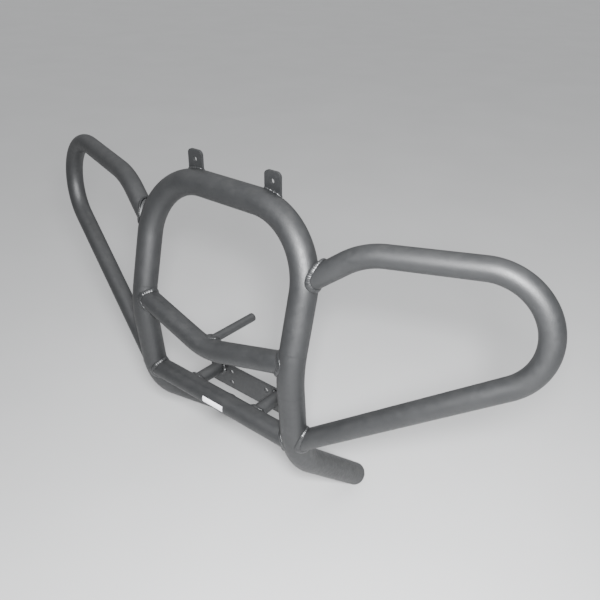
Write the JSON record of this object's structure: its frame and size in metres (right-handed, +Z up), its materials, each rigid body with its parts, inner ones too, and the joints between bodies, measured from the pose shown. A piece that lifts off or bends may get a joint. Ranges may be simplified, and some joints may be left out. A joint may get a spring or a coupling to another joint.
{
  "type": "front grille guard",
  "caption": "Bent-tube front grille guard with a tall centre hoop, two crossbars, looped side wings and a rear mounting plate.",
  "frame": {"origin": "centre of the mounting plate's bolt pattern, on the plate's rear face", "axes": "+Z up, -Y towards the front of the vehicle's travel, +X to the side; the guard is symmetric about X = 0"},
  "size_m": [1.082, 0.2459, 0.6597],
  "materials": {
    "powder_coat": "satin black fine-textured powder coat",
    "weld_bead": "powder-coated weld bead, slightly glossier than the tubes",
    "label": "blank white vinyl label"
  },
  "bodies": {
    "root": {"main_hoop": "powder_coat", "hoop_end_cap_left": "powder_coat", "hoop_end_cap_right": "powder_coat", "upper_crossbar": "powder_coat", "lower_crossbar": "powder_coat", "wing_left": "powder_coat", "wing_right": "powder_coat", "lower_strut_left": "powder_coat", "lower_strut_right": "powder_coat", "mounting_plate": "powder_coat", "upper_stay": "powder_coat", "upper_stay_plug": "powder_coat", "rack_tab_left": "powder_coat", "rack_tab_right": "powder_coat", "label_blank": "label", "weld_upper_crossbar_left": "weld_bead", "weld_upper_crossbar_right": "weld_bead", "weld_lower_crossbar_left": "weld_bead", "weld_lower_crossbar_right": "weld_bead", "weld_wing_upper_left": "weld_bead", "weld_wing_upper_right": "weld_bead", "weld_wing_lower_left": "weld_bead", "weld_wing_lower_right": "weld_bead", "weld_strut_front_left": "weld_bead", "weld_strut_front_right": "weld_bead", "weld_strut_rear_left": "weld_bead", "weld_strut_rear_right": "weld_bead", "weld_upper_stay": "weld_bead"}
  },
  "joints": []
}
